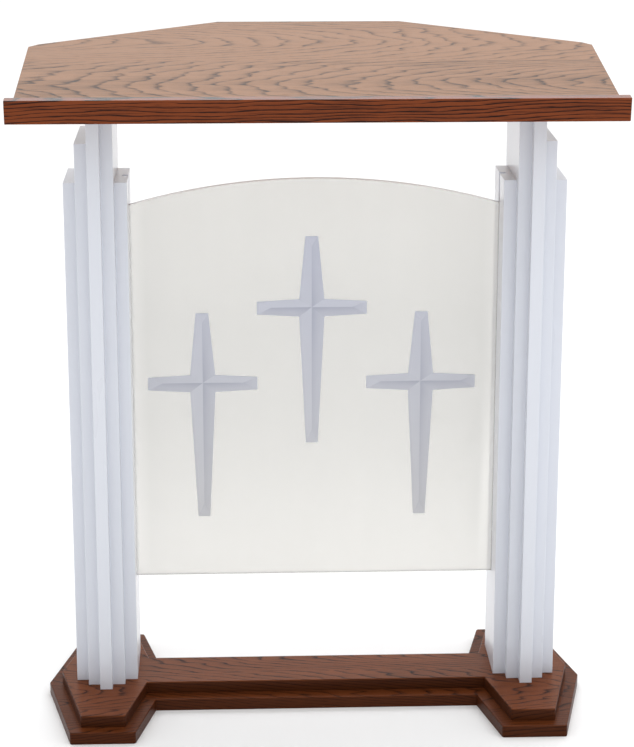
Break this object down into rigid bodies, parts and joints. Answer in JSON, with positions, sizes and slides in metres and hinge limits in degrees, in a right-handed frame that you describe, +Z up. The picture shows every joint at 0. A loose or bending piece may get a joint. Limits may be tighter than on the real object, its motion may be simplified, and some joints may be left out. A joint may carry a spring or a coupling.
{
  "type": "lectern stand",
  "caption": "Floor lectern: sloping oak desk with a book ledge on stepped white columns, carved-cross acrylic panel between, H-shaped oak base.",
  "frame": {"origin": "on the floor, under the middle of the whole lectern's box", "axes": "+X to the speaker's right as they face the hall, +Y away from the speaker, +Z up"},
  "size_m": [0.99, 0.5458, 1.1397],
  "materials": {
    "base_oak": "dark stained oak, satin lacquer",
    "desk_oak": "reddish-brown stained oak, satin lacquer",
    "cleat_oak": "stained oak, thin lacquer",
    "white_lacquer": "white satin lacquer",
    "clear_acrylic": "polished acrylic with frosted carving",
    "zinc_steel": "zinc plated",
    "insert_brass": "plain turned",
    "beech": "bare beech"
  },
  "bodies": {
    "root": {"base_lower_board": "base_oak", "base_upper_board": "base_oak", "base_tier_screws": "zinc_steel", "column_bolts": "zinc_steel", "column_bolt_washers": "zinc_steel", "column_threaded_inserts": "insert_brass", "column_dowels": "beech", "cross_panel": "clear_acrylic", "desk_board": "desk_oak", "book_ledge": "desk_oak", "ledge_dowels": "beech", "cleat_side_screws": "zinc_steel", "cleat_top_screws": "zinc_steel", "left_column_outer_low": "white_lacquer", "left_column_outer_mid": "white_lacquer", "left_column_centre": "white_lacquer", "left_column_inner_tall": "white_lacquer", "left_column_inner_low": "white_lacquer", "left_inner_cleat": "cleat_oak", "left_outer_cleat": "cleat_oak", "right_column_outer_low": "white_lacquer", "right_column_outer_mid": "white_lacquer", "right_column_centre": "white_lacquer", "right_column_inner_tall": "white_lacquer", "right_column_inner_low": "white_lacquer", "right_inner_cleat": "cleat_oak", "right_outer_cleat": "cleat_oak"}
  },
  "joints": []
}
